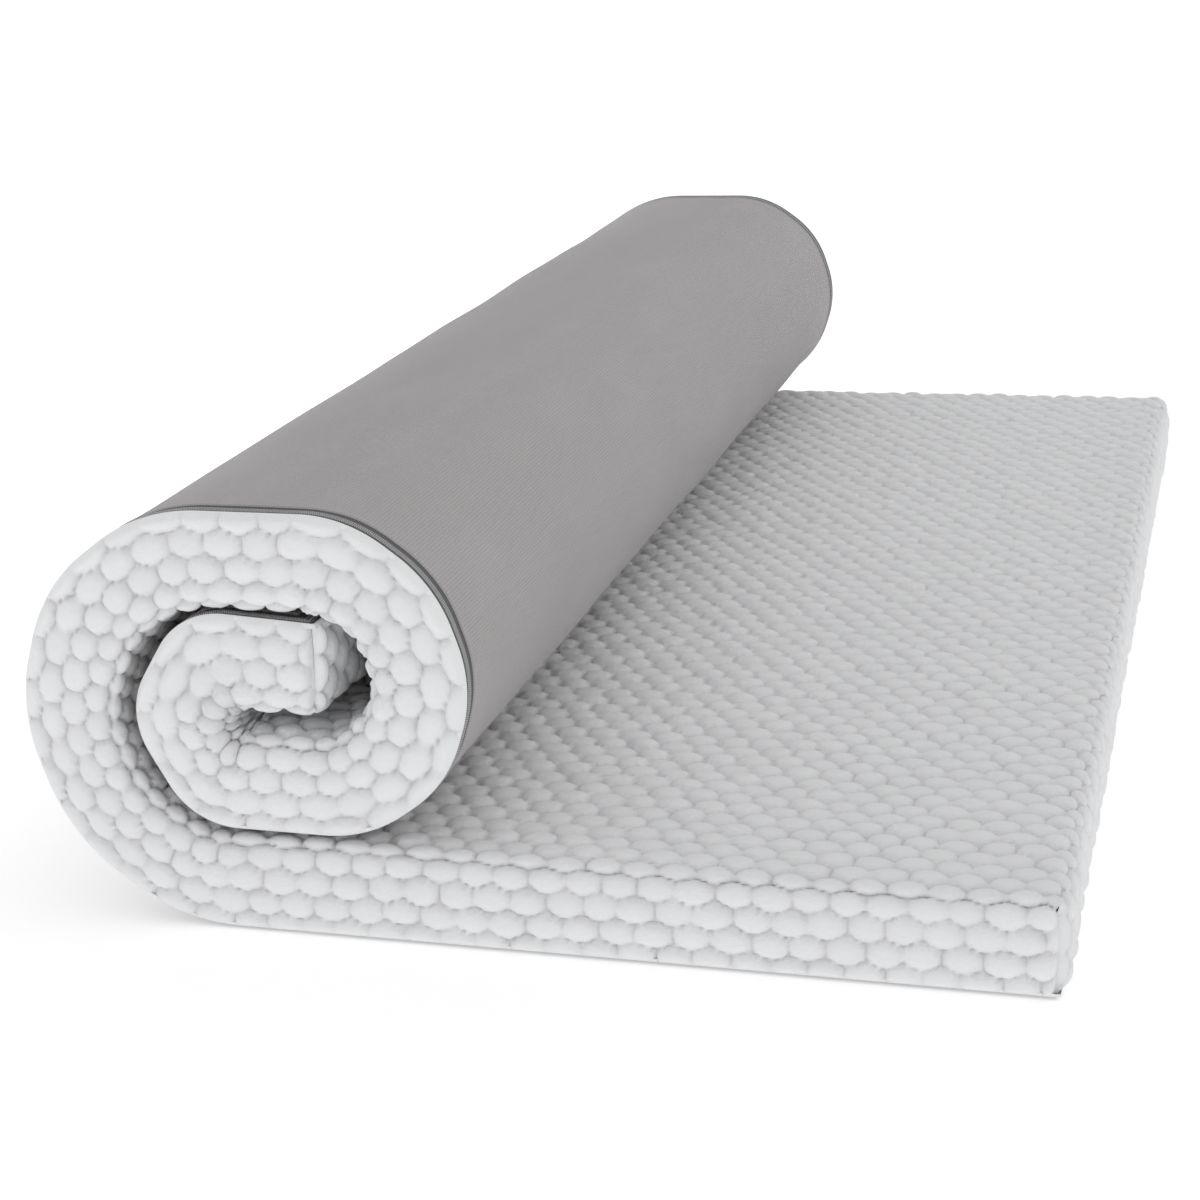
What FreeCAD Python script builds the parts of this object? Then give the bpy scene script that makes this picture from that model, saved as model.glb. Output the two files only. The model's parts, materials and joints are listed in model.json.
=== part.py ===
"""Rollable memory foam mattress, half rolled up, as a chain of short lengths.

The mattress lies along X with its width along Y.  The slab lies flat on the ground at +X, and
the other end is rolled up over it at -X.  Each length of the mattress is modelled flat, in its
own frame: x runs from its first hinge towards the rolled-up end, z runs from the grey
underside to the quilted sleeping side, and y = 0 is the middle of the width.  A placement then
turns it into the roll.  The hinges lie half way through the thickness.
"""
import FreeCAD, Part
import Sketcher
import math
import os

SIZES = [
    ("mattress_length", 2000, "overall length when laid flat"),
    ("mattress_width", 1800, "overall width, along the axis of the roll"),
    ("core_height", 80, "thickness of the memory foam core"),
    ("quilt", 8, "thickness of the quilted cover"),
    ("panel", 2, "thickness of the grey underside panel"),
    ("joint_gap", 0.15, "clearance on each side of a hinge line"),
    ("fold_inner", 12, "radius of the hollow inside the inner fold"),
    ("roll_gap", 6, "gap across the roll, between the top and under runs and the fold"),
    ("under_gap", 8, "gap between the roll and the slab, summed over the roll"),
    ("fold_radius", "=(core_height + quilt + panel) / 2 + fold_inner",
     "mid-plane radius of the inner fold"),
    ("right_radius", "=fold_radius + (core_height + quilt + panel) / 2 + roll_gap / 2",
     "mid-plane radius of the bend on the right"),
    ("left_radius", "=right_radius + (core_height + quilt + panel) / 2 + under_gap / 2",
     "mid-plane radius of the outer bend on the left"),
    ("left_turn", 36.0, "turn at each hinge of the left bend, degrees"),
    ("right_turn", 36.1, "turn at each hinge of the right bend, degrees"),
    ("fold_turn", 61.0, "turn at each hinge of the inner fold, degrees"),
    ("top_flat", 78, "straight run over the top of the roll"),
    ("under_flat", 60, "straight run under the inside of the roll"),
    ("tail_flat", 74, "straight run from the fold to the hidden end"),
    ("edge_round", 18, "rounding of the cover's upper edges"),
    ("tail_round", 14, "rounding across the hidden end's upper edge"),
    ("zip_inset", 3, "border left outside the zip tape"),
    ("tape_width", 12, "width of each zip tape"),
    ("tape_thickness", 1.0, "thickness of a zip tape"),
    ("coil_width", 2.8, "width of each row of zip coil"),
    ("coil_height", 0.8, "how far the coil stands below the tape"),
    ("chain_slit", 1.0, "slit between the two rows of coil"),
    ("slider_length", 12, "length of the zip slider"),
    ("slider_width", 9, "width of the zip slider"),
    ("post_length", 4, "length of the post that joins the slider's plates"),
    ("plate", 1.2, "thickness of each slider plate"),
    ("running_gap", 0.3, "clearance between the slider and what it runs on"),
    ("slider_travel", 25, "travel of the slider each way"),
    ("post_width", 0.5, "width of that post, which passes between the coils"),
    ("ear_height", 3.4, "height of the ears that carry the pull tab"),
    ("ear_width", 1.2, "thickness of each ear"),
    ("pin_radius", 0.8, "radius of the pull tab's pin"),
    ("pin_clearance", 0.08, "radial clearance of the tab on its pin"),
    ("tab_length", 26, "length of the pull tab"),
    ("tab_width", 4.6, "width of the pull tab"),
    ("tab_thickness", 1.4, "thickness of the pull tab"),
    ("tab_eye", 1.7, "outer radius of the eye at the tab's pivot"),
]

# Hinges in each bend, in order from the slab to the hidden end.
LEFT_HINGES = 5
RIGHT_HINGES = 5
FOLD_HINGES = 3

# The length of mattress that carries the zip's slider.
SLIDER_RUN = "left_bend_2"

doc = FreeCAD.newDocument("mattress")
sheet = doc.addObject("Spreadsheet::Sheet", "sizes")
for row, (alias, value, note) in enumerate(SIZES, start=1):
    sheet.set("A%d" % row, str(value))
    sheet.setAlias("A%d" % row, alias)
    sheet.set("B%d" % row, note)
doc.recompute()


def size(alias):
    """Value of a named size."""
    return float(sheet.get(alias))


THICKNESS = size("core_height") + size("quilt") + size("panel")
HALF = THICKNESS / 2


def half_run(radius, turn):
    """Distance from a hinge to where its bend's curve touches the mid-plane."""
    return radius * math.tan(math.radians(turn / 2))


def plan_runs():
    """Every length of mattress as (name, length, turn before, turn after)."""
    left = half_run(size("left_radius"), size("left_turn"))
    right = half_run(size("right_radius"), size("right_turn"))
    fold = half_run(size("fold_radius"), size("fold_turn"))
    turns = [size("left_turn")] * LEFT_HINGES
    turns += [size("right_turn")] * RIGHT_HINGES
    turns += [size("fold_turn")] * FOLD_HINGES
    rolled = [("left_bend_%d" % n, 2 * left) for n in range(1, LEFT_HINGES)]
    rolled.append(("top_run", left + size("top_flat") + right))
    rolled += [("right_bend_%d" % n, 2 * right) for n in range(1, RIGHT_HINGES)]
    rolled.append(("under_run", right + size("under_flat") + fold))
    rolled += [("fold_%d" % n, 2 * fold) for n in range(1, FOLD_HINGES)]
    rolled.append(("tail", fold + size("tail_flat")))
    slab = size("mattress_length") - sum(length for name, length in rolled)
    runs = [("slab", slab)] + rolled
    before = [0.0] + turns
    after = turns + [0.0]
    return [(name, length, before[n], after[n]) for n, (name, length) in enumerate(runs)]


RUNS = plan_runs()


def lay_out(runs):
    """Place each run: position of its first hinge (x, z) and its total turn in degrees."""
    x, z, turned = 0.0, HALF, 0.0
    places = []
    for name, length, before, after in runs:
        turned += before
        places.append((x, z, turned))
        x -= length * math.cos(math.radians(turned))
        z += length * math.sin(math.radians(turned))
    return places


def corner(place, along, up):
    """World x and z of a point in a run's own frame."""
    x, z, turned = place
    cosine = math.cos(math.radians(turned))
    sine = math.sin(math.radians(turned))
    rise = up - HALF
    return x - along * cosine + rise * sine, z + along * sine + rise * cosine


PLACES = lay_out(RUNS)
LEFTMOST = min(corner(place, along, 0)[0]
               for place, run in zip(PLACES, RUNS)
               for along in (size("joint_gap"), run[1] - size("joint_gap")))
CENTRE_X = LEFTMOST / 2


def placement(number):
    """Placement that turns a flat run into its place in the roll."""
    place = PLACES[number]
    base_x, base_z = corner(place, 0, 0)
    turn = FreeCAD.Rotation(FreeCAD.Vector(0, 1, 0), place[2])
    face_left = FreeCAD.Rotation(FreeCAD.Vector(0, 0, 1), 180)
    return FreeCAD.Placement(FreeCAD.Vector(base_x - CENTRE_X, 0, base_z), turn * face_left)


def origin_plane(body, role):
    """One of a body's own origin planes."""
    return next(item for item in body.Origin.OriginFeatures if item.Role == role)


def draw_outline(body, name, points):
    """Sketch a closed outline on the body's XZ plane, each corner tied to two expressions."""
    sketch = body.newObject("Sketcher::SketchObject", name)
    sketch.AttachmentSupport = [(origin_plane(body, "XZ_Plane"), "")]
    sketch.MapMode = "FlatFace"
    count = len(points)
    for n in range(count):
        start = FreeCAD.Vector(points[n][2], points[n][3], 0)
        end = FreeCAD.Vector(points[(n + 1) % count][2], points[(n + 1) % count][3], 0)
        sketch.addGeometry(Part.LineSegment(start, end))
    for n in range(count):
        sketch.addConstraint(Sketcher.Constraint("Coincident", n, 2, (n + 1) % count, 1))
    for n, (across, up, across_value, up_value) in enumerate(points):
        tie(sketch, "DistanceX", n, across, across_value)
        tie(sketch, "DistanceY", n, up, up_value)
    return sketch


def tie(sketch, kind, line, expression, value):
    """Hold a line's first point at a distance from the origin given by an expression."""
    index = sketch.addConstraint(Sketcher.Constraint(kind, -1, 1, line, 1, value))
    sketch.setExpression("Constraints[%d]" % index, expression)


def profile(run, bottom, top, start_inset, end_inset):
    """Side outline of one layer of a run, between two heights.

    Below the mid-plane the ends are square.  Above it they lean in, so that a run can turn
    towards its neighbour by the hinge's angle.  Heights and insets are (expression, value).
    """
    name, length, before, after = run
    middle = ("(sizes.core_height + sizes.quilt + sizes.panel) / 2", HALF)
    gap = size("joint_gap")

    def lean(height, turn):
        text = "(%s - %s) * tan(%.6f deg)" % (height[0], middle[0], turn / 2)
        return text, (height[1] - middle[1]) * math.tan(math.radians(turn / 2))

    def low(height, is_first):
        turn = before if is_first else after
        inset = start_inset if is_first else end_inset
        shift = ("0", 0.0)
        if height[1] > middle[1] and turn:
            shift = lean(height, turn)
        base = ("sizes.joint_gap", gap) if turn else inset
        if is_first:
            return "%s + %s" % (base[0], shift[0]), base[1] + shift[1]
        return "%.6f - %s - %s" % (length, base[0], shift[0]), length - base[1] - shift[1]

    heights = [bottom, top]
    if bottom[1] < middle[1] < top[1]:
        heights = [bottom, middle, top]
    going_up = [(low(height, False), height) for height in heights]
    going_down = [(low(height, True), height) for height in reversed(heights)]
    outline = []
    for across, up in going_down[-1:] + going_up + going_down[:-1]:
        outline.append((across[0], up[0], across[1], up[1]))
    return outline


def extrude(body, sketch, name, width_expression):
    """Pad a sketch evenly to both sides of the middle of the mattress."""
    pad = body.newObject("PartDesign::Pad", name)
    pad.Profile = sketch
    pad.Midplane = True
    pad.setExpression("Length", width_expression)
    body.Tip = pad
    return pad


def hollow(body, sketch, name, width_expression):
    """Cut a sketch evenly to both sides of the middle of the mattress."""
    pocket = body.newObject("PartDesign::Pocket", name)
    pocket.Profile = sketch
    pocket.Midplane = True
    pocket.setExpression("Length", width_expression)
    body.Tip = pocket
    return pocket


def round_edges(body, feature, name, wanted, radius_name):
    """Fillet the edges of a feature that a test picks out."""
    doc.recompute()
    names = []
    for number, edge in enumerate(feature.Shape.Edges, start=1):
        if wanted(edge):
            names.append("Edge%d" % number)
    fillet = body.newObject("PartDesign::Fillet", name)
    fillet.Base = (feature, names)
    fillet.setExpression("Radius", "sizes." + radius_name)
    body.Tip = fillet
    return fillet


NOTHING = ("0", 0.0)
UNDERSIDE = ("0", 0.0)
PANEL_TOP = ("sizes.panel", size("panel"))
CORE_TOP = ("sizes.panel + sizes.core_height", size("panel") + size("core_height"))
COVER_TOP = ("sizes.panel + sizes.core_height + sizes.quilt", THICKNESS)
QUILT_WALL = ("sizes.quilt", size("quilt"))
ZIP_BAND = ("(sizes.zip_inset + 2 * sizes.tape_width)", size("zip_inset") + 2 * size("tape_width"))
CORE_WIDTH = "sizes.mattress_width - 2 * sizes.quilt"
COVER_WIDTH = "sizes.mattress_width"
PANEL_WIDTH = "sizes.mattress_width - 2 * (sizes.zip_inset + 2 * sizes.tape_width)"
SIDE_Y = size("mattress_width") / 2


def new_body(name):
    """A body named after its node."""
    body = doc.addObject("PartDesign::Body", name)
    body.Label = name
    return body


def make_core(number):
    """Memory foam of one run."""
    run = RUNS[number]
    body = new_body("foam_core_" + run[0])
    outline = profile(run, PANEL_TOP, CORE_TOP, QUILT_WALL, QUILT_WALL)
    sketch = draw_outline(body, "core_side_" + run[0], outline)
    extrude(body, sketch, "core_block_" + run[0], CORE_WIDTH)
    if run[0] == SLIDER_RUN:
        cut_slider_groove(body, run)
    return body


def cut_slider_groove(body, run):
    """Shallow groove in the foam, over the zip, for the slider's inner plate."""
    sketch = body.newObject("Sketcher::SketchObject", "slider_groove_outline")
    sketch.AttachmentSupport = [(origin_plane(body, "XY_Plane"), "")]
    sketch.MapMode = "FlatFace"
    reach = size("slider_travel") + size("slider_length") / 2 + 2 * size("running_gap")
    half_width = size("slider_width") / 2 + size("running_gap")
    middle_x = run[1] / 2
    middle_y = ZIP_Y
    near, far = middle_y - half_width, middle_y + half_width
    low, high = middle_x - reach, middle_x + reach
    corners = [(low, near), (high, near), (high, far), (low, far)]
    for n in range(4):
        start = FreeCAD.Vector(corners[n][0], corners[n][1], 0)
        end = FreeCAD.Vector(corners[(n + 1) % 4][0], corners[(n + 1) % 4][1], 0)
        sketch.addGeometry(Part.LineSegment(start, end))
    before = doc.getObject("core_block_" + run[0])
    groove = body.newObject("PartDesign::Pocket", "slider_groove")
    groove.Profile = sketch
    groove.Reversed = True
    depth = "sizes.panel + sizes.plate + 2 * sizes.running_gap"
    groove.setExpression("Length", depth)
    body.Tip = groove
    doc.recompute()
    if groove.Shape.Volume >= before.Shape.Volume:
        raise RuntimeError("the slider's groove cuts nothing")


def make_cover(number):
    """Quilted cover of one run: the sleeping side and both side walls, and an end wall."""
    run = RUNS[number]
    body = new_body("quilted_cover_" + run[0])
    outer = draw_outline(body, "cover_side_" + run[0],
                         profile(run, PANEL_TOP, COVER_TOP, NOTHING, NOTHING))
    block = extrude(body, outer, "cover_block_" + run[0], COVER_WIDTH)

    def is_upper_edge(edge):
        box = edge.BoundBox
        beside = abs(abs(box.YMin) - SIDE_Y) < 0.01 and box.YLength < 0.01
        return beside and box.ZMin > THICKNESS - 0.01

    rounded = round_edges(body, block, "cover_edges_" + run[0], is_upper_edge, "edge_round")
    if run[0] == "tail":
        round_tail(body, rounded, run)
    inner = draw_outline(body, "cover_inside_" + run[0],
                         profile(run, PANEL_TOP, CORE_TOP, QUILT_WALL, QUILT_WALL))
    hollow(body, inner, "cover_hollow_" + run[0], CORE_WIDTH)
    return body


def round_tail(body, feature, run):
    """Round the hidden end's upper edge, across the width."""
    def is_end_edge(edge):
        box = edge.BoundBox
        at_end = box.XMin > run[1] - 0.01
        return at_end and box.ZMin > THICKNESS - 0.01 and box.YLength > SIDE_Y
    round_edges(body, feature, "tail_edge", is_end_edge, "tail_round")


def make_panel(number):
    """Grey ribbed underside of one run, between the zips."""
    run = RUNS[number]
    body = new_body("underside_panel_" + run[0])
    outline = profile(run, UNDERSIDE, PANEL_TOP, ZIP_BAND, ZIP_BAND)
    sketch = draw_outline(body, "panel_side_" + run[0], outline)
    extrude(body, sketch, "panel_sheet_" + run[0], PANEL_WIDTH)
    return body


ZIP_Y = SIDE_Y - size("zip_inset") - size("tape_width")


def box(name, lengths, corner_point):
    """Part box with its three sides and its corner tied to expressions."""
    item = doc.addObject("Part::Box", name)
    for side, expression in zip(("Length", "Width", "Height"), lengths):
        item.setExpression(side, expression)
    for axis, expression in zip("xyz", corner_point):
        item.setExpression("Placement.Base." + axis, expression)
    return item


def zip_half(name, along, side, inner):
    """One tape with its row of coil, along a side of the mattress.

    along is (start, length) as expressions, side is -1 or 1, and inner is the half sewn to
    the underside panel.
    """
    middle = "(sizes.mattress_width / 2 - sizes.zip_inset - sizes.tape_width)"
    slit = "sizes.chain_slit / 2"
    sign = "-1" if side < 0 else "1"
    is_low = (side < 0) != inner
    tape = "(sizes.tape_width - %s)" % slit
    if is_low:
        tape_y = "%s * %s - %s - %s" % (sign, middle, slit, tape)
        coil_y = "%s * %s - %s - sizes.coil_width" % (sign, middle, slit)
    else:
        tape_y = "%s * %s + %s" % (sign, middle, slit)
        coil_y = tape_y
    tape_z = "sizes.panel - sizes.tape_thickness"
    coil_z = "sizes.panel - sizes.tape_thickness - sizes.coil_height"
    strip = box(name + "_tape", (along[1], tape, "sizes.tape_thickness"),
                (along[0], tape_y, tape_z))
    row = box(name + "_coil", (along[1], "sizes.coil_width", "sizes.coil_height"),
              (along[0], coil_y, coil_z))
    half = doc.addObject("Part::Fuse", name)
    half.Base = strip
    half.Tool = row
    half.Refine = True
    return half


def end_zip(name, at_start, run):
    """The two zip halves across an end of the mattress."""
    length = "%.6f" % run[1]
    slit = "sizes.chain_slit / 2"
    tape = "(sizes.tape_width - %s)" % slit
    span = "sizes.mattress_width - 2 * (sizes.zip_inset + 2 * sizes.tape_width)"
    start_y = "-(sizes.mattress_width / 2 - sizes.zip_inset - 2 * sizes.tape_width)"
    centre = "(sizes.zip_inset + sizes.tape_width)"
    if not at_start:
        centre = "(%s - sizes.zip_inset - sizes.tape_width)" % length
    tape_z = "sizes.panel - sizes.tape_thickness"
    coil_z = "sizes.panel - sizes.tape_thickness - sizes.coil_height"
    halves = []
    for part, tape_x, coil_x in (
            ("a", "%s - %s - %s" % (centre, slit, tape),
             "%s - %s - sizes.coil_width" % (centre, slit)),
            ("b", "%s + %s" % (centre, slit), "%s + %s" % (centre, slit))):
        strip = box("%s_%s_tape" % (name, part), (tape, span, "sizes.tape_thickness"),
                    (tape_x, start_y, tape_z))
        row = box("%s_%s_coil" % (name, part), ("sizes.coil_width", span, "sizes.coil_height"),
                  (coil_x, start_y, coil_z))
        half = doc.addObject("Part::Fuse", "%s_%s" % (name, part))
        half.Base = strip
        half.Tool = row
        half.Refine = True
        halves.append(half)
    return halves


def make_zip(number):
    """Zip of one run: both halves along both sides, and across the end at an end run."""
    run = RUNS[number]
    name, length, before, after = run
    start = "sizes.joint_gap" if before else "sizes.zip_inset"
    stop = "sizes.joint_gap" if after else "sizes.zip_inset"
    along = (start, "%.6f - %s - %s" % (length, start, stop))
    pieces = []
    for side, side_name in ((-1, "left"), (1, "right")):
        pieces.append(zip_half("zip_%s_%s_border" % (name, side_name), along, side, False))
        pieces.append(zip_half("zip_%s_%s_panel" % (name, side_name), along, side, True))
    if not before:
        pieces += end_zip("zip_foot_end", True, run)
    if not after:
        pieces += end_zip("zip_head_end", False, run)
    chain = doc.addObject("Part::Compound", "zip_chain_" + name)
    chain.Label = "zip_chain_" + name
    chain.Links = pieces
    return chain


def make_slider(run):
    """Zip slider: two plates joined by a post, and two ears with the pull tab's pin."""
    middle_x = "%.6f / 2" % run[1]
    middle_y = "(sizes.mattress_width / 2 - sizes.zip_inset - sizes.tape_width)"
    coil_bottom = "(sizes.panel - sizes.tape_thickness - sizes.coil_height)"
    outer_top = "(%s - sizes.running_gap)" % coil_bottom
    inner_bottom = "(sizes.panel + sizes.running_gap)"
    plate_start = ("%s - sizes.slider_length / 2" % middle_x,
                   "%s - sizes.slider_width / 2" % middle_y)
    inner = box("slider_inner_plate", ("sizes.slider_length", "sizes.slider_width", "sizes.plate"),
                plate_start + (inner_bottom,))
    outer = box("slider_outer_plate", ("sizes.slider_length", "sizes.slider_width", "sizes.plate"),
                plate_start + ("%s - sizes.plate" % outer_top,))
    post = box("slider_post",
               ("sizes.post_length", "sizes.post_width",
                "%s - %s + 2 * sizes.plate" % (inner_bottom, outer_top)),
               ("%s - sizes.post_length / 2" % middle_x,
                "%s - sizes.post_width / 2" % middle_y, "%s - sizes.plate" % outer_top))
    pieces = [inner, outer, post]
    for n, shift in enumerate(("- sizes.tab_width / 2 - sizes.running_gap - sizes.ear_width",
                               "+ sizes.tab_width / 2 + sizes.running_gap")):
        ear = box("slider_ear_%d" % (n + 1),
                  ("2 * sizes.tab_eye", "sizes.ear_width", "sizes.ear_height"),
                  ("%s - sizes.tab_eye" % middle_x, "%s %s" % (middle_y, shift),
                   "%s - sizes.plate - sizes.ear_height" % outer_top))
        pieces.append(ear)
    pin = doc.addObject("Part::Cylinder", "slider_pin")
    pin.setExpression("Radius", "sizes.pin_radius")
    pin.setExpression("Height", "sizes.tab_width + 2 * sizes.running_gap + 2 * sizes.ear_width")
    lie_across = FreeCAD.Rotation(FreeCAD.Vector(1, 0, 0), -90)
    pin.Placement = FreeCAD.Placement(FreeCAD.Vector(), lie_across)
    pin.setExpression("Placement.Base.x", middle_x)
    pin.setExpression("Placement.Base.y",
                      "%s - sizes.tab_width / 2 - sizes.running_gap - sizes.ear_width" % middle_y)
    pin.setExpression("Placement.Base.z",
                      "%s - sizes.plate - sizes.running_gap - sizes.tab_eye" % outer_top)
    pieces.append(pin)
    slider = doc.addObject("Part::MultiFuse", "zip_slider")
    slider.Label = "zip_slider"
    slider.Shapes = pieces
    slider.Refine = True
    return slider


def make_tab(run):
    """Pull tab: a flat strip with an eye that turns on the slider's pin."""
    middle_x = "%.6f / 2" % run[1]
    middle_y = "(sizes.mattress_width / 2 - sizes.zip_inset - sizes.tape_width)"
    pin_z = ("(sizes.panel - sizes.tape_thickness - sizes.coil_height - 2 * sizes.running_gap"
             " - sizes.plate - sizes.tab_eye)")
    strip = box("tab_strip", ("sizes.tab_length", "sizes.tab_width", "sizes.tab_thickness"),
                (middle_x, "%s - sizes.tab_width / 2" % middle_y,
                 "%s - sizes.tab_thickness / 2" % pin_z))
    rounds = []
    for name, radius, extra in (("tab_eye_outside", "sizes.tab_eye", "0"),
                                ("tab_eye_hole", "sizes.pin_radius + sizes.pin_clearance", "1")):
        item = doc.addObject("Part::Cylinder", name)
        item.setExpression("Radius", radius)
        item.setExpression("Height", "sizes.tab_width + 2 * %s" % extra)
        turn = FreeCAD.Rotation(FreeCAD.Vector(1, 0, 0), -90)
        item.Placement = FreeCAD.Placement(FreeCAD.Vector(), turn)
        item.setExpression("Placement.Base.x", middle_x)
        item.setExpression("Placement.Base.y", "%s - sizes.tab_width / 2 - %s" % (middle_y, extra))
        item.setExpression("Placement.Base.z", pin_z)
        rounds.append(item)
    body = doc.addObject("Part::Fuse", "tab_blank")
    body.Base = strip
    body.Tool = rounds[0]
    body.Refine = True
    tab = doc.addObject("Part::Cut", "zip_pull_tab")
    tab.Label = "zip_pull_tab"
    tab.Base = body
    tab.Tool = rounds[1]
    return tab


nodes = []
for number, run in enumerate(RUNS):
    for make in (make_core, make_cover, make_panel, make_zip):
        node = make(number)
        node.Placement = placement(number)
        nodes.append(node)
    if run[0] == SLIDER_RUN:
        for make in (make_slider, make_tab):
            node = make(run)
            node.Placement = placement(number)
            nodes.append(node)
doc.recompute()

for item in doc.Objects:
    if "Invalid" in item.State or "Error" in item.State:
        raise RuntimeError("%s is %s" % (item.Label, item.State))
for node in nodes:
    if node.Shape.isNull() or not node.Shape.isValid():
        raise RuntimeError("%s has a bad shape" % node.Label)

os.makedirs("parts", exist_ok=True)
for node in nodes:
    node.Shape.exportStep("parts/%s.step" % node.Label)
    print("%-30s %d solid(s) %.0f mm3" % (node.Label, len(node.Shape.Solids), node.Shape.Volume))
for run, place in zip(RUNS, PLACES):
    hinge = (place[0] - CENTRE_X, place[1])
    print("%-14s length %.2f hinge x %.3f z %.3f turned %.2f" % (run[0], run[1], *hinge, place[2]))
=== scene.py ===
# %% [markdown]
# # A half rolled memory foam mattress
#
# This is a roll-up mattress of memory foam in a zip-off cover. The sleeping side and the side
# walls are a white quilted knit, puffed up into rows of round pebbles. The underside is a plain
# grey ribbed knit, and a zip runs all the way round it, a finger's width in from the edge. One
# end lies flat and the other is rolled up over it.

# %% Load the frame
import bpy
import json
import math
import numpy as np
from mathutils import Matrix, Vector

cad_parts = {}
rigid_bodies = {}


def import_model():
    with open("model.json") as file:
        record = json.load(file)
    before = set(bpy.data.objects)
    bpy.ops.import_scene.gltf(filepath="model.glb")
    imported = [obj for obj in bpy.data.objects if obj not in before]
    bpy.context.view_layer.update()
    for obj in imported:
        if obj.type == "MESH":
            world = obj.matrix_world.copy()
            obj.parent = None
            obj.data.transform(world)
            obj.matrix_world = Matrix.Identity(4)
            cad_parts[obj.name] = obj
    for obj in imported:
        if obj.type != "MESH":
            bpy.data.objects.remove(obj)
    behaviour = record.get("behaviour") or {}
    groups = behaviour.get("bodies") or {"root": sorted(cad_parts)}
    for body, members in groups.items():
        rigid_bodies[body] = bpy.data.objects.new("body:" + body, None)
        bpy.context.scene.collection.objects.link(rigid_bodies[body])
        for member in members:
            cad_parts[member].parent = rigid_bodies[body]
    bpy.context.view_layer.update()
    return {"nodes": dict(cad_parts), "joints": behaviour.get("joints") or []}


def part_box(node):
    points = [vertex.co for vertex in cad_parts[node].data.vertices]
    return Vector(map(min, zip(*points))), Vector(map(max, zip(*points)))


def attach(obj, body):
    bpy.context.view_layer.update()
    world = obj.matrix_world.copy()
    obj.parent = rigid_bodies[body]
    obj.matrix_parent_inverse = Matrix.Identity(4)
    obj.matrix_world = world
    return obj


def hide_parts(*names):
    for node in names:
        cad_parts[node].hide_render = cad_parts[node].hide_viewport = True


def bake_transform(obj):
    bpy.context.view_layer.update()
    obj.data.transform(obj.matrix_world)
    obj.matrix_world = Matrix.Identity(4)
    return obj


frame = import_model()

# %% [markdown]
# ## Camera
#
# The view is low and a little to the right of the roll's near end, with a long lens, so that the
# far edge stays nearly as wide as the near one.

# %% Camera
camera_data = bpy.data.cameras.new("camera")
camera_data.sensor_width = 36.0
camera_data.lens = 69.8
camera = bpy.data.objects.new("camera", camera_data)
camera.location = (0.6083, -2.676, 0.9435)
aim = Matrix.Rotation(0.2863, 3, "Z") @ Matrix.Rotation(math.pi / 2 - 0.3175, 3, "X")
camera.rotation_euler = (aim @ Matrix.Rotation(-0.0463, 3, "Z")).to_euler()
bpy.context.scene.collection.objects.link(camera)
bpy.context.scene.camera = camera
print("camera at", tuple(camera.location))

# %% [markdown]
# ## The line that the mattress follows
#
# A foam mattress bends like a thick strip: its middle keeps its length, the inside of a bend is
# squeezed and the outside is stretched. The CAD model has thirteen hinges half way through the
# thickness. Here each hinge becomes a round bend, so that the cover runs in one smooth curve.

# %% Hinges and bends
low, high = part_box("quilted_cover_slab")
HALF = (high[2] - 0.0) / 2
WIDTH = high[1] - low[1]
START = np.array([high[0], HALF])
hinges = [j for j in frame["joints"] if j["name"] == "unroll" or j["name"].startswith("bend_")]
RUN_NAMES = [hinges[0]["parent"]] + [j["child"] for j in hinges]
H = [np.array([j["pos_m"][0], j["pos_m"][2]]) for j in hinges]
points = [START] + H


def heading(a, b):
    """Direction from a to b, of length one."""
    return (b - a) / np.linalg.norm(b - a)


def turned(vector, angle):
    """A vector in the X-Z plane turned clockwise, seen from the near side."""
    c, s = math.cos(angle), math.sin(angle)
    return np.array([vector[0] * c + vector[1] * s, -vector[0] * s + vector[1] * c])


headings = [heading(points[k], points[k + 1]) for k in range(len(points) - 1)]
turns = []
for before, after in zip(headings[:-1], headings[1:]):
    across = before[1] * after[0] - before[0] * after[1]
    turns.append(math.atan2(across, float(before @ after)))
turns.append(turns[-1])
headings.append(turned(headings[-1], turns[-1]))
tail_cover = frame["nodes"]["quilted_cover_tail"]
corners = np.array([v.co for v in tail_cover.data.vertices])[:, [0, 2]]
tail_length = float(((corners - H[-1]) @ headings[-1]).max())
points.append(H[-1] + headings[-1] * tail_length)
stations = np.cumsum([0.0] + [np.linalg.norm(b - a) for a, b in zip(points[:-1], points[1:])])
LENGTH = float(stations[-1])
halves = []
for k in range(13):
    mate = k + 1 if k in (0, 5, 10) else k - 1
    halves.append(abs(stations[k + 1] - stations[mate + 1]) / 2)
radii = [half / math.tan(turn / 2) for half, turn in zip(halves, turns)]
SOFTNESS = [0.86] * 10 + [0.72] * 3
print("length %.3f, width %.3f, thickness %.3f" % (LENGTH, WIDTH, 2 * HALF))
print("bend radii", [round(r, 3) for r in radii])

# %% [markdown]
# A place in the mattress has three numbers: how far it is along from the flat end, how far across,
# and how far above the middle of the thickness. This turns the first and third into a place in the
# roll.

# %% Along and up to a place in the roll
left_of = [np.array([d[1], -d[0]]) for d in headings]


def arc_point(k, share, up):
    """Places on the bend at hinge k, for a share of its turn and a height off the middle."""
    radius = SOFTNESS[k] * (radii[k] - up)
    middle = left_of[k] + left_of[k + 1]
    middle = middle / np.linalg.norm(middle)
    reach = (up + radius) / math.cos(turns[k] / 2)
    c, s = np.cos(share * turns[k]), np.sin(share * turns[k])
    n = left_of[k]
    nx, nz = n[0] * c + n[1] * s, -n[0] * s + n[1] * c
    return H[k][0] + middle[0] * reach - nx * radius, H[k][1] + middle[1] * reach - nz * radius


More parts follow.
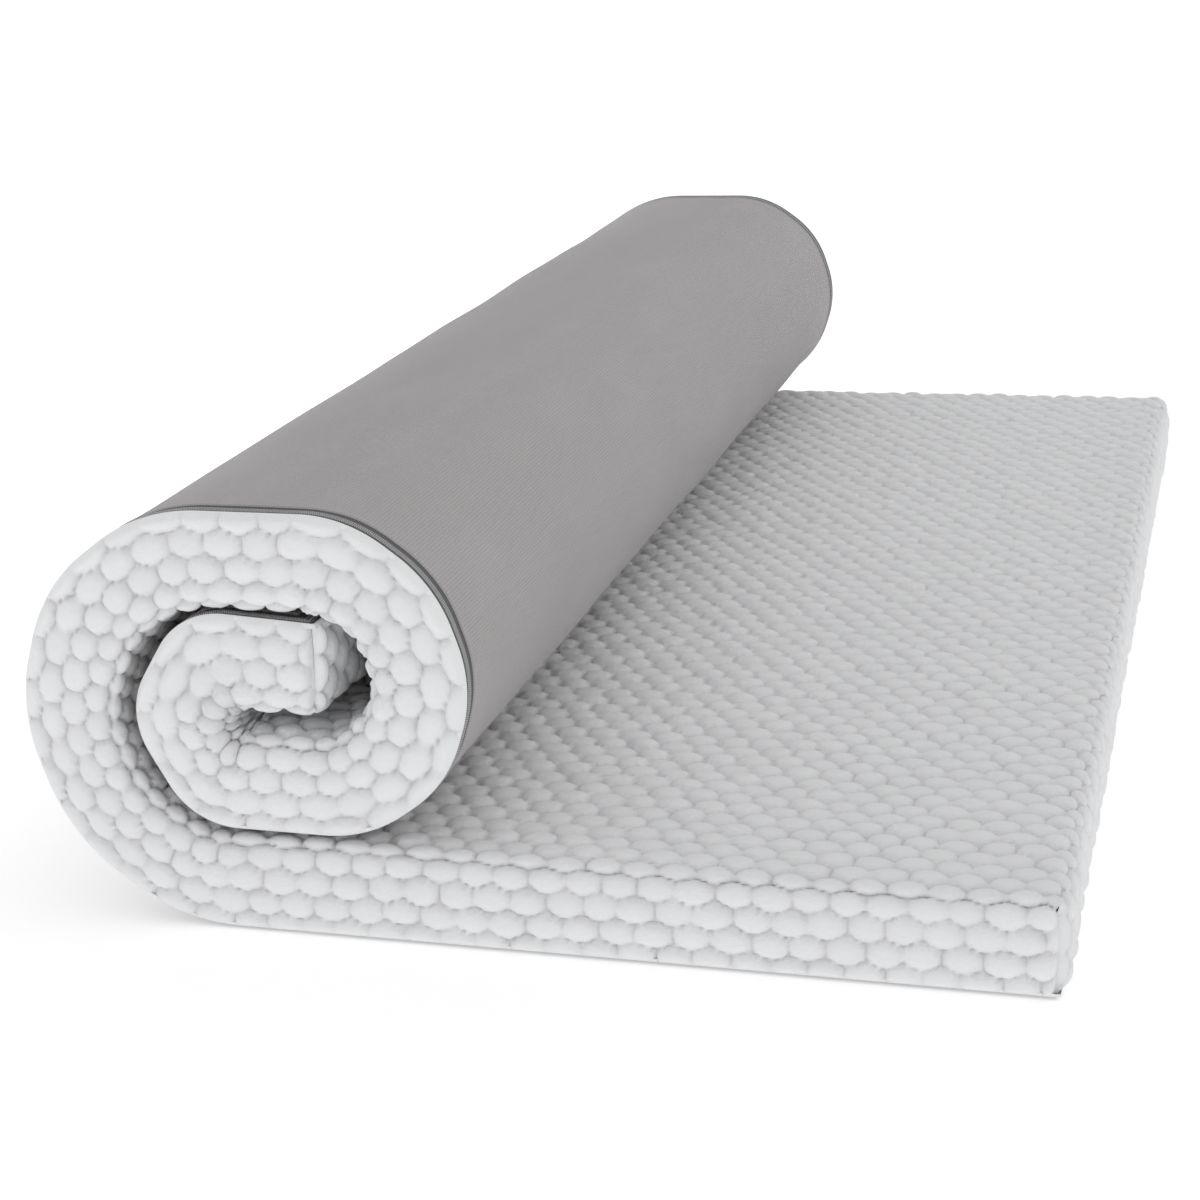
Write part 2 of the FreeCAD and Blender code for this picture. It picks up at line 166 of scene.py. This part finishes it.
def roll(along, up):
    """World x and z for arrays of distance along and height off the middle of the thickness."""
    along, up = np.broadcast_arrays(np.asarray(along, float), np.asarray(up, float))
    x, z = np.zeros(along.shape), np.zeros(along.shape)
    starts = [stations[k + 1] - SOFTNESS[k] * halves[k] for k in range(13)]
    ends = [stations[k + 1] + SOFTNESS[k] * halves[k] for k in range(13)]
    for k in range(14):
        a = ends[k - 1] if k > 0 else 0.0
        b = starts[k] if k < 13 else LENGTH
        first = -np.inf if k == 0 else a
        last = np.inf if k == 13 else b
        here = (along >= first) & (along < last)
        if here.any():
            u = up[here]
            if k > 0:
                ax, az = arc_point(k - 1, np.ones(u.shape), u)
            else:
                ax, az = START[0] + left_of[0][0] * u, START[1] + left_of[0][1] * u
            if k < 13:
                bx, bz = arc_point(k, np.zeros(u.shape), u)
            else:
                bx = points[-1][0] + left_of[-1][0] * u
                bz = points[-1][1] + left_of[-1][1] * u
            share = (along[here] - a) / (b - a)
            x[here], z[here] = ax + (bx - ax) * share, az + (bz - az) * share
        if k < 13:
            here = (along >= starts[k]) & (along < ends[k])
            if here.any():
                share = (along[here] - starts[k]) / (ends[k] - starts[k])
                x[here], z[here] = arc_point(k, share, up[here])
    return x, z


def bend_at(along):
    """How tightly the mattress bends at a distance along, as one over the radius."""
    along = np.asarray(along, float)
    total = np.zeros(along.shape)
    for k in range(13):
        reach = halves[k]
        total += turns[k] / (2 * reach) * np.exp(-((along - stations[k + 1]) / (1.1 * reach)) ** 4)
    return total


print("middle of the top run", [round(float(n), 3) for n in roll(stations[6] - 0.08, 0.0)])

# %% [markdown]
# ## The quilting
#
# The quilted knit has a thin wadding behind it and is stitched so that it puffs up in rows of
# round pebbles, each row set half a step from the next. The pebbles are real relief here, because
# they catch the light along every edge. No two come out alike, so each one gets its own small
# shift, size and height.

# %% Pebbles
PEBBLE_STEP = 0.0335
PEBBLE_ROW = 0.0232


def scatter(a, b, salt):
    """A repeatable number from 0 to 1 for each whole-number pair."""
    n = (a.astype(np.int64) * 374761393 + b.astype(np.int64) * 668265263 + salt * 974634777)
    n = (n ^ (n >> 13)) * 1274126177 & 0x7FFFFFFF
    return ((n ^ (n >> 16)) & 0xFFFF) / 65535.0


def ripple(a, b, size, salt):
    """Smooth noise from -1 to 1 with features of about a given size."""
    p, q = a / size, b / size
    p0, q0 = np.floor(p), np.floor(q)
    s, t = p - p0, q - q0
    s, t = s * s * (3 - 2 * s), t * t * (3 - 2 * t)
    value = 0.0
    for i in (0, 1):
        for j in (0, 1):
            weight = (s if i else 1 - s) * (t if j else 1 - t)
            value = value + weight * scatter(p0 + i, q0 + j, salt)
    return value * 2 - 1


def pebbles(along, girth):
    """Height of the pebbled cloth, 0 in the stitched grooves to about 1 on top of a pebble."""
    along = along + 0.0016 * ripple(along, girth, 0.05, 1)
    girth = girth + 0.0012 * ripple(along, girth, 0.06, 2)
    row = np.floor(girth / PEBBLE_ROW)
    nearest = np.full(along.shape, 9.0)
    second = np.full(along.shape, 9.0)
    rise = np.ones(along.shape)
    for r in (-1, 0, 1):
        this_row = row + r
        shift = 0.5 * (this_row % 2) + 0.12 * (scatter(this_row, this_row * 0, 5) - 0.5)
        base = np.floor(along / PEBBLE_STEP - shift)
        for c in (-1, 0, 1):
            cell = base + c
            wide = 0.0166 * (0.92 + 0.16 * scatter(cell, this_row, 8))
            tall = 0.0122 * (0.92 + 0.16 * scatter(cell, this_row, 9))
            da = along - (cell + 0.5 + shift + 0.12 * (scatter(cell, this_row, 3) - 0.5)) * PEBBLE_STEP
            dg = girth - (this_row + 0.5 + 0.10 * (scatter(cell, this_row, 4) - 0.5)) * PEBBLE_ROW
            far = np.sqrt((da / wide) ** 2 + (dg / tall) ** 2)
            closer = far < nearest
            second = np.where(closer, nearest, np.minimum(second, far))
            rise = np.where(closer, 0.82 + 0.32 * scatter(cell, this_row, 6), rise)
            nearest = np.where(closer, far, nearest)
    dome = np.clip(1 - (nearest / 1.10) ** 2.4, 0, 1) ** 0.5
    edge = np.clip((second - nearest) / 0.16, 0, 1)
    return dome * edge ** 0.5 * rise


trial = pebbles(*np.meshgrid(np.linspace(0, 0.3, 200), np.linspace(0, 0.3, 200)))
print("pebble height: mean %.2f, top %.2f" % (trial.mean(), trial.max()))

# %% [markdown]
# The cover is a rounded box: soft upper edges, upright corners with a seam, and walls that swell a
# little over the foam. Where the mattress bends, the inside of the wall is squeezed, so it swells
# more there and its pebbles bunch up into creases.

# %% The cover's surface
ROUND = 0.018
SIDE = WIDTH / 2


def cover(along, across, up, girth_along, girth_across, puff):
    """World points of the cover, from places on a sharp-edged box and their cloth coordinates."""
    ia = np.clip(along, ROUND, LENGTH - ROUND)
    iy = np.clip(across, -SIDE + ROUND, SIDE - ROUND)
    iv = np.minimum(up, HALF - ROUND)
    da, dy, dv = along - ia, across - iy, up - iv
    size = np.sqrt(da ** 2 + dy ** 2 + dv ** 2)
    size = np.maximum(size, 1e-9)
    na, ny, nv = da / size, dy / size, dv / size
    curve = bend_at(along)
    squeeze = np.clip(curve * up, -0.6, 0.75)
    height = pebbles(girth_along, girth_across)
    lift = (0.0075 + 0.0020 * np.clip(squeeze, 0, 1)) * height * puff - 0.0052
    wall = np.clip(1 - np.abs(nv), 0, 1)
    level = np.clip((up + HALF) / (2 * HALF), 0, 1)
    lift = lift + wall * (0.0035 * np.sin(math.pi * level) + 0.010 * np.clip(squeeze, -0.1, 1))
    crease = ripple(girth_along * (1 + 0.6 * np.clip(squeeze, 0, 1)), girth_across, 0.011, 11)
    lift = lift + 0.0030 * np.clip(squeeze, 0, 1) * crease
    lift = lift + 0.0013 * ripple(girth_along, girth_across, 0.09, 12)
    tuck = np.clip(0.008 - (up + HALF), 0, 0.008) / 0.008
    lift = lift - (0.004 + lift) * (1 - np.sqrt(np.clip(1 - tuck ** 2, 0, 1))) * wall
    out = ROUND + lift
    a, y, v = ia + na * out, iy + ny * out, iv + nv * out
    x, z = roll(a, np.minimum(v, HALF + 0.008))
    return np.stack([x, y, z], -1), height


print("cover made from box edges of radius", ROUND)

# %% [markdown]
# ## Turning grids into cloth
#
# Every surface is a fine grid, cut into pieces that meet in the middle of each length of mattress.
# A piece in the middle of a bend reaches from one length to the next. Each grid also carries the
# cloth's own flat coordinates, so the knit follows the cloth.

# %% Grid to mesh
def normals_of(grid):
    """Unit normals of a grid of points."""
    du = np.gradient(grid, axis=0)
    dt = np.gradient(grid, axis=1)
    n = np.cross(du, dt)
    return n / np.maximum(np.linalg.norm(n, axis=-1, keepdims=True), 1e-12)


def cloth(name, grids, materials):
    """One mesh from several (points, normals, cloth coordinates, heights, face materials)."""
    verts, norms, uvs, heights, faces, kinds = [], [], [], [], [], []
    base = 0
    for grid, normal, uv, height, kind in grids:
        rows, cols = grid.shape[:2]
        index = base + np.arange(rows * cols).reshape(rows, cols)
        quad = np.stack([index[:-1, :-1], index[1:, :-1], index[1:, 1:], index[:-1, 1:]], -1)
        faces.append(quad.reshape(-1, 4))
        verts.append(grid.reshape(-1, 3))
        norms.append(normal.reshape(-1, 3))
        uvs.append(uv.reshape(-1, 2))
        heights.append(height.reshape(-1))
        kinds.append(np.broadcast_to(kind, (rows - 1, cols - 1)).reshape(-1))
        base += rows * cols
    verts, norms, uvs = np.concatenate(verts), np.concatenate(norms), np.concatenate(uvs)
    faces, kinds = np.concatenate(faces), np.concatenate(kinds)
    mesh = bpy.data.meshes.new(name)
    mesh.vertices.add(len(verts))
    mesh.vertices.foreach_set("co", verts.astype(np.float32).ravel())
    mesh.loops.add(faces.size)
    mesh.loops.foreach_set("vertex_index", faces.astype(np.int32).ravel())
    mesh.polygons.add(len(faces))
    mesh.polygons.foreach_set("loop_start", np.arange(0, faces.size, 4, dtype=np.int32))
    mesh.polygons.foreach_set("material_index", kinds.astype(np.int32))
    mesh.update(calc_edges=True)
    layer = mesh.uv_layers.new(name="cloth")
    layer.uv.foreach_set("vector", uvs[faces.ravel()].astype(np.float32).ravel())
    puff = mesh.attributes.new("puff", "FLOAT", "POINT")
    puff.data.foreach_set("value", np.concatenate(heights).astype(np.float32))
    mesh.polygons.foreach_set("use_smooth", np.ones(len(faces), dtype=bool))
    mesh.normals_split_custom_set_from_vertices(norms.astype(np.float32).tolist())
    for material in materials:
        mesh.materials.append(material)
    piece = bpy.data.objects.new(name, mesh)
    bpy.context.scene.collection.objects.link(piece)
    return piece


print("grids ready")

# %% [markdown]
# ## Fabrics
#
# The quilted side is a matt white polyester knit with a fine grain. Its colour is painted a little
# darker in the grooves between the pebbles, as painted shade, and the knit has a soft bloom at grazing
# angles.

# %% Quilted knit
def new_material(name):
    """An empty node material: (material, nodes, links, principled shader, cloth coordinates)."""
    material = bpy.data.materials.new(name)
    material.use_nodes = True
    nodes, links = material.node_tree.nodes, material.node_tree.links
    shader = nodes["Principled BSDF"]
    coords = nodes.new("ShaderNodeUVMap")
    coords.uv_map = "cloth"
    return material, nodes, links, shader, coords


def stretched(nodes, links, coords, scale):
    """Cloth coordinates multiplied by a scale for each direction."""
    mapping = nodes.new("ShaderNodeMapping")
    mapping.inputs["Scale"].default_value = (scale[0], scale[1], 1.0)
    links.new(coords.outputs[0], mapping.inputs["Vector"])
    return mapping.outputs[0]


def grain(nodes, links, vector, scale, detail):
    """Noise over a vector, as its factor."""
    noise = nodes.new("ShaderNodeTexNoise")
    noise.inputs["Scale"].default_value = scale
    noise.inputs["Detail"].default_value = detail
    links.new(vector, noise.inputs["Vector"])
    return noise.outputs["Fac"]


def ribs(nodes, links, vector, direction):
    """A sine wave along one direction of a vector, one wave for each unit."""
    wave = nodes.new("ShaderNodeTexWave")
    wave.bands_direction = direction
    wave.inputs["Scale"].default_value = 2 * math.pi / 20
    wave.inputs["Distortion"].default_value = 0.0
    links.new(vector, wave.inputs["Vector"])
    return wave.outputs["Fac"]


def mixed(nodes, links, factor, low_colour, high_colour):
    """A colour between two, by a factor."""
    ramp = nodes.new("ShaderNodeMix")
    ramp.data_type = "RGBA"
    ramp.inputs["A"].default_value = (*low_colour, 1.0)
    ramp.inputs["B"].default_value = (*high_colour, 1.0)
    links.new(factor, ramp.inputs["Factor"])
    return ramp.outputs["Result"]


def combined(nodes, links, kind, first, second):
    """One sum or product of two values; the second may be a number."""
    node = nodes.new("ShaderNodeMath")
    node.operation = kind
    links.new(first, node.inputs[0])
    if isinstance(second, (int, float)):
        node.inputs[1].default_value = second
    else:
        links.new(second, node.inputs[1])
    return node.outputs[0]


def bumped(nodes, links, shader, height, depth):
    """Bump of a real depth in metres from a height of 0 to 1."""
    bump = nodes.new("ShaderNodeBump")
    bump.inputs["Strength"].default_value = 1.0
    bump.inputs["Distance"].default_value = depth
    links.new(height, bump.inputs["Height"])
    links.new(bump.outputs["Normal"], shader.inputs["Normal"])


def make_quilt():
    material, nodes, links, shader, coords = new_material("quilted_knit")
    wales = ribs(nodes, links, stretched(nodes, links, coords, (900, 900)), "X")
    courses = ribs(nodes, links, stretched(nodes, links, coords, (700, 700)), "Y")
    knit = combined(nodes, links, "MULTIPLY", wales, courses)
    pucker = grain(nodes, links, stretched(nodes, links, coords, (1, 1)), 150.0, 3.0)
    pucker = combined(nodes, links, "MULTIPLY", pucker, 5.0)
    relief = combined(nodes, links, "ADD", knit, pucker)
    bumped(nodes, links, shader, relief, 0.00022)
    # Painted shade: the colour darkens from the pebble tops down into the stitched grooves.
    puff = nodes.new("ShaderNodeAttribute")
    puff.attribute_name = "puff"
    fade = combined(nodes, links, "POWER", puff.outputs["Fac"], 0.5)
    colour = mixed(nodes, links, fade, (0.74, 0.74, 0.755), (0.90, 0.905, 0.915))
    links.new(colour, shader.inputs["Base Color"])
    shader.inputs["Roughness"].default_value = 0.82
    shader.inputs["Specular IOR Level"].default_value = 0.25
    shader.inputs["Sheen Weight"].default_value = 0.2
    shader.inputs["Sheen Roughness"].default_value = 0.5
    return material


quilt = make_quilt()
print("material", quilt.name)

# %% [markdown]
# The underside is a light grey non-slip knit with fine ribs across the mattress, about two
# millimetres apart, and smaller cross threads between them. The grey is a little uneven, and it is
# painted lighter on the rib crests and darker in the troughs between them, as painted shade.

# %% Grey ribbed knit, zip tape and coil
def make_ribbed():
    material, nodes, links, shader, coords = new_material("grey_ribbed_knit")
    across = ribs(nodes, links, stretched(nodes, links, coords, (440, 440)), "X")
    threads = ribs(nodes, links, stretched(nodes, links, coords, (620, 620)), "Y")
    fine = combined(nodes, links, "MULTIPLY", threads, 0.35)
    relief = combined(nodes, links, "ADD", across, fine)
    bumped(nodes, links, shader, relief, 0.00045)
    patches = grain(nodes, links, stretched(nodes, links, coords, (6, 2)), 3.0, 4.0)
    flecks = grain(nodes, links, stretched(nodes, links, coords, (500, 260)), 1.0, 2.0)
    tone_and_rib_shade = combined(nodes, links, "ADD", combined(nodes, links, "MULTIPLY", patches, 0.35),
                    combined(nodes, links, "MULTIPLY", flecks, 0.35))
    # Painted shade: the rib wave lightens the crests and darkens the troughs between the ribs.
    tone_and_rib_shade = combined(nodes, links, "ADD", tone_and_rib_shade, combined(nodes, links, "MULTIPLY", across, 0.3))
    colour = mixed(nodes, links, tone_and_rib_shade, (0.330, 0.312, 0.315), (0.540, 0.515, 0.520))
    links.new(colour, shader.inputs["Base Color"])
    shader.inputs["Roughness"].default_value = 0.75
    shader.inputs["Specular IOR Level"].default_value = 0.3
    shader.inputs["Sheen Weight"].default_value = 0.3
    shader.inputs["Sheen Roughness"].default_value = 0.45
    return material


def make_tape():
    material, nodes, links, shader, coords = new_material("zip_tape")
    herringbone = ribs(nodes, links, stretched(nodes, links, coords, (900, 900)), "X")
    bumped(nodes, links, shader, herringbone, 0.0003)
    # Painted shade: the colour is darker in the troughs of the weave relief and lighter on its threads.
    colour = mixed(nodes, links, herringbone, (0.10, 0.10, 0.105), (0.20, 0.20, 0.205))
    links.new(colour, shader.inputs["Base Color"])
    shader.inputs["Roughness"].default_value = 0.85
    return material


def make_coil():
    material, nodes, links, shader, coords = new_material("zip_coil")
    teeth = ribs(nodes, links, stretched(nodes, links, coords, (770, 770)), "X")
    bumped(nodes, links, shader, teeth, 0.0007)
    colour = mixed(nodes, links, teeth, (0.14, 0.14, 0.145), (0.72, 0.72, 0.72))
    links.new(colour, shader.inputs["Base Color"])
    shader.inputs["Roughness"].default_value = 0.32
    shader.inputs["Specular IOR Level"].default_value = 0.6
    return material


def make_metal():
    material = bpy.data.materials.new("slider_enamel")
    material.use_nodes = True
    nodes, links = material.node_tree.nodes, material.node_tree.links
    shader = nodes["Principled BSDF"]
    coords = nodes.new("ShaderNodeTexCoord")
    wear = grain(nodes, links, coords.outputs["Object"], 600.0, 3.0)
    links.new(mixed(nodes, links, wear, (0.30, 0.30, 0.31), (0.52, 0.52, 0.54)),
              shader.inputs["Base Color"])
    bumped(nodes, links, shader, wear, 0.00005)
    shader.inputs["Metallic"].default_value = 0.8
    shader.inputs["Roughness"].default_value = 0.35
    return material


ribbed, tape, coil, enamel = make_ribbed(), make_tape(), make_coil(), make_metal()
print("materials", ribbed.name, tape.name, coil.name, enamel.name)

# %% [markdown]
# ## Quilted cover
#
# The cover was sewn from one quilted panel with boxed sides, so the pebbles run over the edges
# without a seam. Grid lines lie closer together than a tenth of a pebble.

# %% Cover grids
step = 0.0032
cuts = [0.0, stations[1] - halves[0]]
for k in range(1, 13):
    same_bend = k not in (5, 10)
    if same_bend:
        cuts.append((stations[k] + stations[k + 1]) / 2)
    else:
        cuts += [stations[k] + halves[k - 1], stations[k + 1] - halves[k]]
cuts += [stations[13] + halves[12], LENGTH]


def spaced(a, b, gap):
    """Even steps from a to b, both included."""
    return np.linspace(a, b, max(2, int(round((b - a) / gap)) + 1))


def joined(parts):
    """Stations from several stretches, each shared end once, and where each stretch starts."""
    values, marks = [parts[0][0]], [0]
    for part in parts:
        values += list(part[1:])
        marks.append(len(values) - 1)
    return np.array(values), marks


u_line, u_marks = joined([spaced(a, b, step) for a, b in zip(cuts[:-1], cuts[1:])])
bands = [-HALF, -0.012, 0.020, HALF]
wall_line, wall_marks = joined([spaced(a, b, step) for a, b in zip(bands[:-1], bands[1:])])
top_line = spaced(-SIDE, SIDE, step)
rows_up = len(wall_line)
ACROSS = np.concatenate([np.full(rows_up, -SIDE), top_line[1:-1], np.full(rows_up, SIDE)])
UP = np.concatenate([wall_line, np.full(len(top_line) - 2, HALF), wall_line[::-1]])
GIRTH = np.concatenate([-SIDE - (HALF - wall_line), top_line[1:-1],
                        SIDE + (HALF - wall_line[::-1])])
uu, yy = np.meshgrid(u_line, ACROSS, indexing="ij")
vv = np.broadcast_to(UP, uu.shape)
gg = np.broadcast_to(GIRTH, uu.shape)


def seam_fade(along, across, up):
    """Quilting flattens beside the upright corner seams."""
    corner = np.hypot(np.minimum(along, LENGTH - along), SIDE - np.abs(across))
    on_wall = np.clip((HALF - 0.004 - up) / 0.006, 0, 1)
    fade = 1 - on_wall * np.clip(1 - (corner - 0.002) / 0.012, 0, 1)
    return fade


skin, skin_height = cover(uu, yy, vv, uu, gg, seam_fade(uu, yy, vv))
skin_normal = -normals_of(skin)
skin_uv = np.stack([uu, gg], -1)
print("cover grid", skin.shape[:2], "points")


def cover_part(u_range, t_range):
    """The part of the cover between two grid rows and two grid columns, both included."""
    s = (slice(u_range[0], u_range[1] + 1), slice(t_range[1], t_range[0] - 1 if t_range[0] else None, -1))
    return skin[s], skin_normal[s], skin_uv[s], skin_height[s], 0


def end_wall(at_start):
    """The quilted wall across one end, folded down from the sleeping side."""
    y, v = np.meshgrid(top_line, wall_line, indexing="ij")
    along = np.zeros(y.shape) if at_start else np.full(y.shape, LENGTH)
    beyond = HALF - v
    girth_along = -beyond if at_start else LENGTH + beyond
    grid, height = cover(along, y, v, girth_along, y, seam_fade(along, y, v))
    normal = -normals_of(grid) if at_start else normals_of(grid)
    uv = np.stack([girth_along, y], -1)
    if at_start:
        grid, normal, uv, height = grid[::-1], normal[::-1], uv[::-1], height[::-1]
    return grid, normal, uv, height, 0


columns = skin.shape[1]
marks_low = [0, wall_marks[1], wall_marks[2]]
marks_high = [columns - 1 - m for m in marks_low]
print("columns", columns, "wall marks", marks_low, marks_high)

# %% [markdown]
# Pieces on the flat end and on the three longer lengths hang from their bodies. Each piece in a
# bend is built in place and left where it lies.


pieces = {}


def add_cover(name, parts, replaced, body=None):
    piece = cloth(name, parts, [quilt])
    if body:
        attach(piece, body)
    else:
        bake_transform(piece)
    if replaced:
        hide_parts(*replaced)
    pieces[name] = piece


slab_middle = u_marks[0] + (u_marks[1] - u_marks[0]) // 2
full = (0, columns - 1)
add_cover("quilt_slab_end", [cover_part((0, slab_middle), full), end_wall(True)],
          ["foam_core_slab"], body="slab")
add_cover("quilt_slab", [cover_part((slab_middle, u_marks[1]), full)],
          ["quilted_cover_slab"], body="slab")
stretch = 1
for k in range(13):
    run = RUN_NAMES[k + 1]
    rows = (u_marks[stretch], u_marks[stretch + 1])
    replaced = ["foam_core_" + run, "quilted_cover_" + run]
    if k < 10:
        add_cover("quilt_bend_%02d" % (k + 1), [cover_part(rows, full)], replaced)
    else:
        inner = (marks_low[2], marks_high[2])
        add_cover("quilt_bend_%02d" % (k + 1), [cover_part(rows, inner)], replaced)
        for label, n in (("upper", 1), ("lower", 0)):
            sides = [cover_part(rows, (marks_low[n], marks_low[n + 1])),
                     cover_part(rows, (marks_high[n + 1], marks_high[n]))]
            add_cover("quilt_bend_%02d_%s" % (k + 1, label), sides, [])
    stretch += 1
    if k in (4, 9, 12):
        rows = (u_marks[stretch], u_marks[stretch + 1])
        parts = [cover_part(rows, full)]
        if k == 12:
            parts.append(end_wall(False))
        add_cover("quilt_" + run, parts, [], body=run)
        stretch += 1
print(len(pieces), "cover pieces")

# %% [markdown]
# ## Underside and zip
#
# The zip sits flat in the underside: a white border, a dark woven tape, two rows of shiny coil
# that mesh in the middle, the second tape, and then the grey panel in a slightly raised seam. One
# profile, taken from the nearest edge, makes all of it, along both sides and across both ends.

# %% Underside
ZIP_PROFILE = [
    (0.0030, 0.0030, 0), (0.0040, 0.0000, 0), (0.0052, -0.0010, 0), (0.0064, -0.0004, 0),
    (0.0069, 0.0010, 1), (0.0112, 0.0012, 1), (0.0115, 0.0004, 2), (0.0122, -0.0004, 2),
    (0.0132, -0.0008, 2), (0.0142, -0.0004, 2), (0.0146, 0.0004, 2), (0.0150, 0.0006, 2),
    (0.0154, 0.0004, 2), (0.0158, -0.0004, 2), (0.0168, -0.0008, 2), (0.0178, -0.0004, 2),
    (0.0185, 0.0004, 2), (0.0188, 0.0012, 1), (0.0262, 0.0012, 1), (0.0266, 0.0004, 3),
    (0.0276, -0.0008, 3), (0.0290, -0.0009, 3), (0.0304, -0.0002, 3), (0.0330, 0.0000, 3)]
INSET = np.array([p[0] for p in ZIP_PROFILE])
DEPTH = np.array([p[1] for p in ZIP_PROFILE])
KIND = np.array([p[2] for p in ZIP_PROFILE])
half_line = np.concatenate([INSET, spaced(0.033, SIDE, 0.008)[1:]])
across_line = np.concatenate([-SIDE + half_line, (SIDE - half_line)[::-1][1:]])
under_step = 0.004
parts = []
for n, (a, b) in enumerate(zip(cuts[:-1], cuts[1:])):
    line = spaced(a, b, under_step)
    if n == 0:
        line = np.concatenate([INSET, spaced(INSET[-1], b, under_step)[1:]])
    elif n == len(cuts) - 2:
        line = np.concatenate([spaced(a, LENGTH - 0.033, under_step)[:-1], (LENGTH - INSET)[::-1]])
    parts.append(line)
under_u, under_marks = joined(parts)
ua, ya = np.meshgrid(under_u, across_line, indexing="ij")
inset = np.minimum(np.minimum(ua, LENGTH - ua), SIDE - np.abs(ya))
depth = np.interp(inset, INSET, DEPTH)
panel = np.clip((inset - 0.03) / 0.05, 0, 1)
sag = 0.0012 * ripple(ua, ya, 0.16, 21) + 0.0006 * ripple(ua, ya * 0.4, 0.05, 22)
beside = 0.0007 * ripple(ua, ya, 0.02, 23) * np.exp(-((inset - 0.036) / 0.012) ** 2)
x, z = roll(ua, -HALF + depth + panel * sag + beside)
under = np.stack([x, ya, z], -1)
under_normal = normals_of(under)
under_uv = np.stack([ua, ya], -1)
middle_inset = (inset[:-1, :-1] + inset[1:, 1:] + inset[1:, :-1] + inset[:-1, 1:]) / 4
face_kind = np.select([middle_inset < 0.0066, (middle_inset > 0.01135) & (middle_inset < 0.01865),
                       middle_inset < 0.0264], [0, 2, 1], 3)
print("underside grid", under.shape[:2], "points")

# %% Underside pieces
def add_under(name, n, replaced, body=None, hinge=None):
    s = slice(under_marks[n], under_marks[n + 1] + 1)
    kinds = face_kind[under_marks[n]:under_marks[n + 1]]
    grid = (under[s], under_normal[s], under_uv[s], np.ones(under[s].shape[:2]), kinds)
    piece = cloth(name, [grid], [quilt, tape, coil, ribbed])
    if body:
        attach(piece, body)
    else:
        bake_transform(piece)
    if replaced:
        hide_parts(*replaced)
    length = cuts[n + 1] - cuts[n]
    if hinge is not None:
        length *= 1 + 0.4 * HALF / radii[hinge]
    pieces[name] = piece


add_under("underside_slab", 0, ["underside_panel_slab", "zip_chain_slab"], body="slab")
stretch = 1
for k in range(13):
    run = RUN_NAMES[k + 1]
    add_under("underside_bend_%02d" % (k + 1), stretch,
              ["underside_panel_" + run, "zip_chain_" + run], hinge=k)
    stretch += 1
    if k in (4, 9, 12):
        add_under("underside_" + run, stretch, [], body=run)
        stretch += 1
print(len(pieces), "pieces in all")

# %% [markdown]
# The slider and its pull tab are small painted castings. Their shape is right as it is, so they
# only get a worn grey enamel.

# %% Zip slider and pull tab
for node in ("zip_slider", "zip_pull_tab"):
    item = frame["nodes"][node]
    item.data.materials.clear()
    item.data.materials.append(enamel)
print("slider and tab painted")

# %% [markdown]
# ## Floor and light
#
# A pale floor, a large soft light from the upper left and an even white sky give open shade with
# one soft shadow to the right.

# %% Floor and light
floor_mesh = bpy.data.meshes.new("floor")
floor_mesh.from_pydata([(-30, -30, 0), (30, -30, 0), (30, 30, 0), (-30, 30, 0)], [], [(0, 1, 2, 3)])
floor = bpy.data.objects.new("floor", floor_mesh)
floor.location.z = -0.004
bpy.context.scene.collection.objects.link(floor)
floor_paint = bpy.data.materials.new("floor_paint")
floor_paint.use_nodes = True
floor_paint.node_tree.nodes["Principled BSDF"].inputs["Base Color"].default_value = (0.93, 0.93, 0.93, 1)
floor_paint.node_tree.nodes["Principled BSDF"].inputs["Roughness"].default_value = 1.0
floor_paint.node_tree.nodes["Principled BSDF"].inputs["Specular IOR Level"].default_value = 0.0
floor_mesh.materials.append(floor_paint)
floor_paint.node_tree.nodes["Principled BSDF"].inputs["Emission Color"].default_value = (1, 1, 1, 1)
floor_paint.node_tree.nodes["Principled BSDF"].inputs["Emission Strength"].default_value = 0.28


def area_light(name, place, target, size, power):
    """A square soft light that faces a point."""
    data = bpy.data.lights.new(name, "AREA")
    data.size = size
    data.energy = power
    lamp = bpy.data.objects.new(name, data)
    lamp.location = place
    direction = np.array(target) - np.array(place)
    yaw = math.atan2(direction[0], -direction[1])
    pitch = math.atan2(math.hypot(direction[0], direction[1]), -direction[2])
    lamp.rotation_euler = (pitch, 0.0, yaw)
    bpy.context.scene.collection.objects.link(lamp)


area_light("key", (-2.4, 0.9, 2.6), (0.0, 0.0, 0.1), 1.2, 120)
area_light("front", (-1.2, -3.6, 2.4), (0.0, -0.4, 0.1), 1.6, 70)
world = bpy.data.worlds.new("sky")
world.use_nodes = True
world.node_tree.nodes["Background"].inputs["Color"].default_value = (1.0, 1.0, 1.0, 1)
world.node_tree.nodes["Background"].inputs["Strength"].default_value = 0.6
bpy.context.scene.world = world
bpy.context.scene.view_settings.view_transform = "Standard"
bpy.context.scene.view_settings.look = "None"
bpy.context.scene.view_settings.exposure = 0.28
print("lit")
